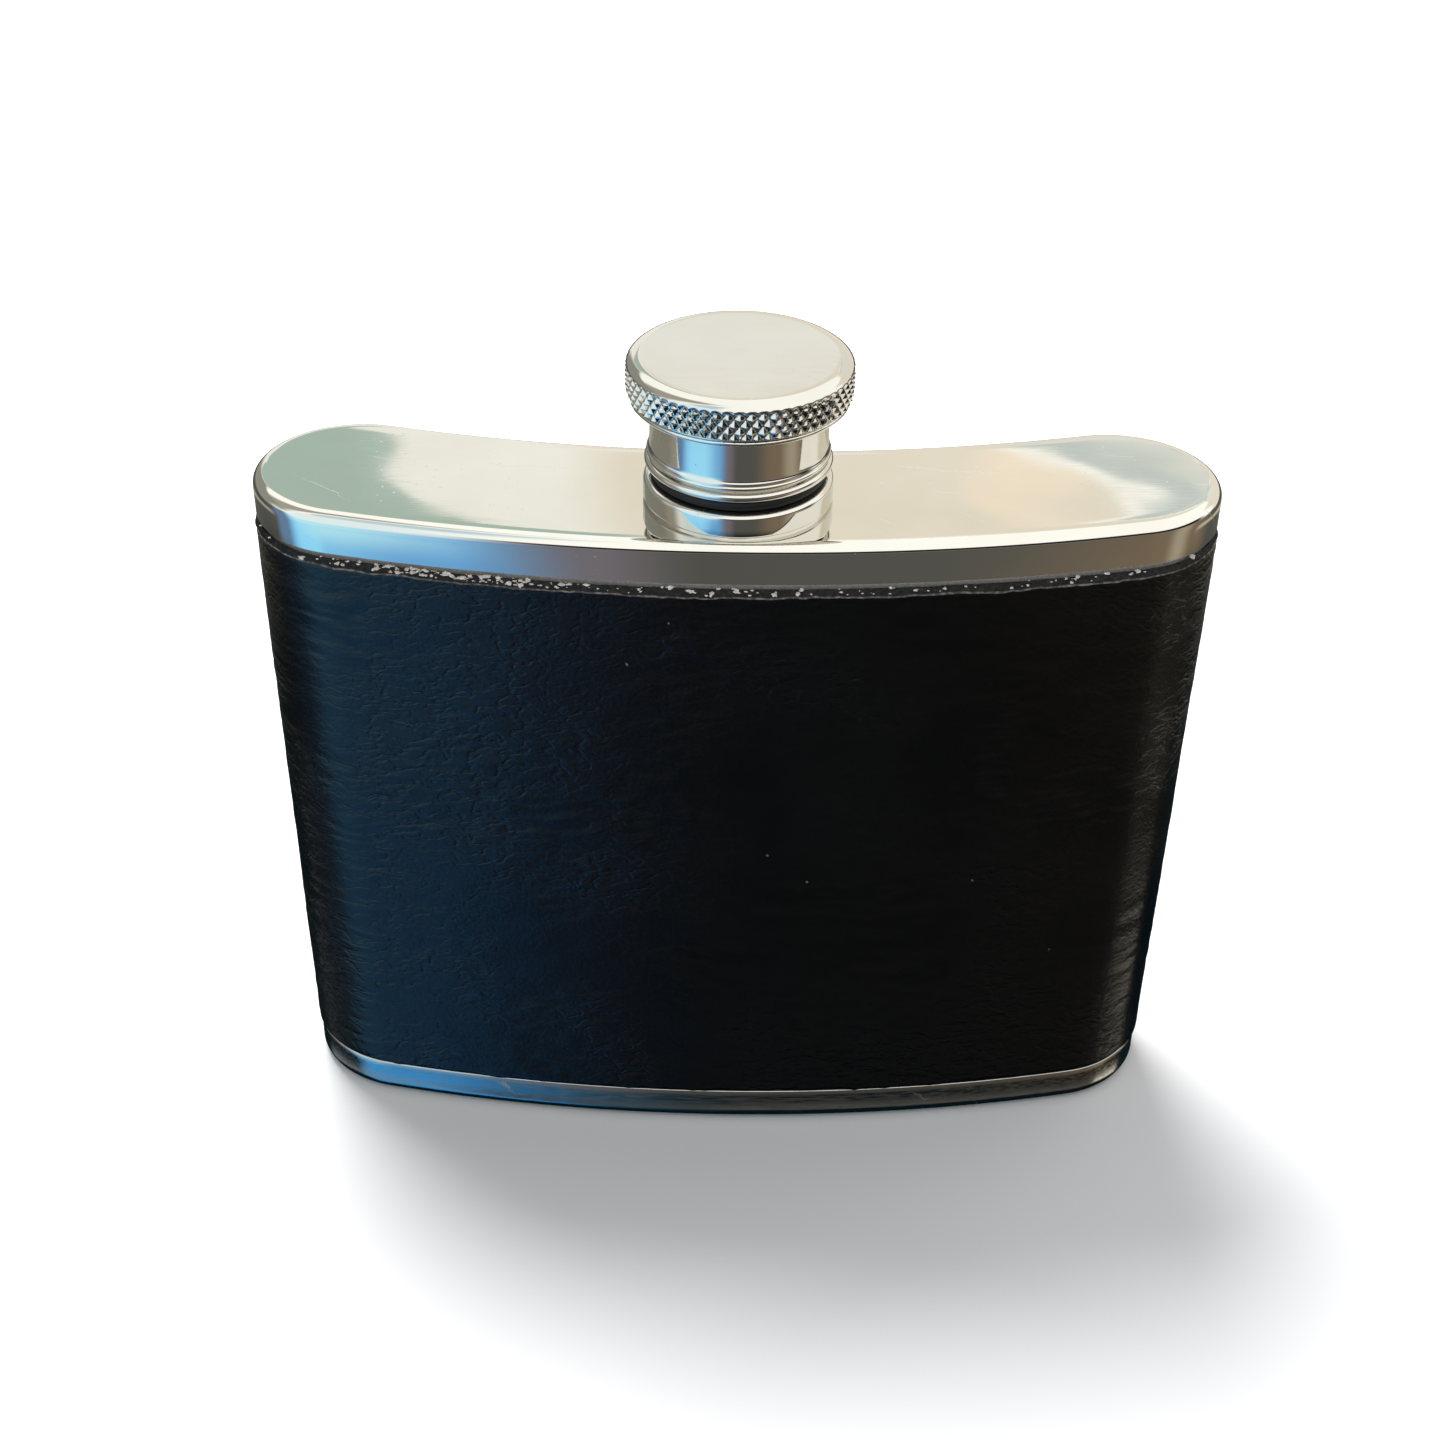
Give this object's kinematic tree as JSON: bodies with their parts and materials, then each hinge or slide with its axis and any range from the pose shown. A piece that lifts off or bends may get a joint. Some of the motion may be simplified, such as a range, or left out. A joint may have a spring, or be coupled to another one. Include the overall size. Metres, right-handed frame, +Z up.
{
  "type": "hip flask",
  "caption": "Curved, tapered steel hip flask in a glued leather sleeve, with a bright top and foot and a knurled screw cap on a threaded neck.",
  "frame": {"origin": "bottom centre of the bounding box, in the plane the flask stands on", "axes": "+X along the width, to the right as the convex face is seen, +Y from the convex front to the hollow back, +Z up along the neck"},
  "size_m": [0.0982, 0.0274, 0.0867],
  "materials": {
    "polished_steel": "polished",
    "body_steel": "satin",
    "black_leather": "satin",
    "black_rubber": "satin",
    "adhesive": "matte",
    "washer_plastic": "satin"
  },
  "bodies": {
    "flask": {"front_wall": "body_steel", "back_wall": "body_steel", "top_plate": "polished_steel", "foot_plate": "polished_steel", "neck": "body_steel", "neck_collar": "polished_steel", "neck_gasket": "black_rubber", "leather_sleeve": "black_leather", "leather_adhesive": "adhesive"},
    "cap_lift": {"sealing_washer": "washer_plastic"},
    "cap": {"cap_barrel": "polished_steel", "cap_crown": "polished_steel"}
  },
  "joints": [
    {"name": "cap_rise", "type": "slide", "parent": "flask", "child": "cap_lift", "axis": [0, 0, 1], "range_m": [0, 0.009]},
    {"name": "cap_turn", "type": "hinge", "parent": "cap_lift", "child": "cap", "pos_m": [0, -0.00237, 0.076], "axis": [0, 0, 1], "range_deg": [0, 1620]}
  ],
  "couplings": [
    {"joint": "cap_rise", "follows": "cap_turn", "m_per_rad": 0.00031831}
  ]
}
